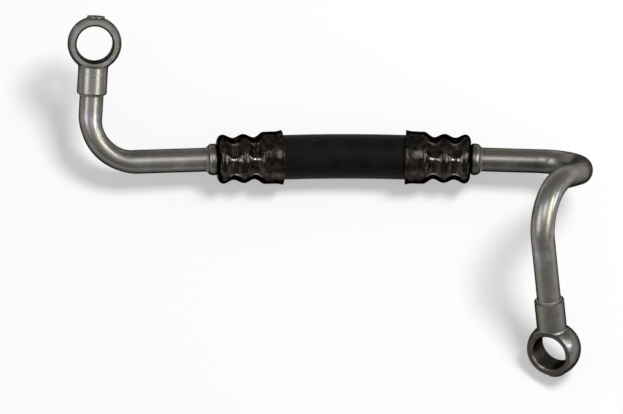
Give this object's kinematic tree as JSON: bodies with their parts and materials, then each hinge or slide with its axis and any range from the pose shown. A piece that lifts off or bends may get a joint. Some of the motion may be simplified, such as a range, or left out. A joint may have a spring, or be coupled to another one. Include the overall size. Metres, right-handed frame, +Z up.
{
  "type": "turbo oil feed line",
  "caption": "Bent steel oil feed pipe with a short rubber hose crimped in the middle and a banjo head at each end.",
  "frame": {"origin": "on the floor, under the middle of the bounding box", "axes": "+X runs along the hose from end A to end B, +Z is up as the line lies at rest"},
  "size_m": [0.1744, 0.1188, 0.0459],
  "materials": {
    "turned_steel": "turned steel, dull zinc plating",
    "pipe_steel": "drawn steel pipe, dull zinc plating",
    "black_steel": "black plated steel, glossy",
    "hose_rubber": "black rubber, matt",
    "braid_wire": "fine steel wire braid",
    "liner_rubber": "black oil resistant rubber",
    "braze": "braze filler, dull"
  },
  "bodies": {
    "root": {"banjo_a": "turned_steel", "banjo_b": "turned_steel", "pipe_a": "pipe_steel", "pipe_b": "pipe_steel", "stem_a": "turned_steel", "stem_b": "turned_steel", "ferrule_a": "black_steel", "ferrule_b": "black_steel", "hose_cover": "hose_rubber", "hose_braid": "braid_wire", "hose_liner": "liner_rubber", "braze_banjo_a": "braze", "braze_banjo_b": "braze", "braze_stem_a": "braze", "braze_stem_b": "braze"}
  },
  "joints": []
}
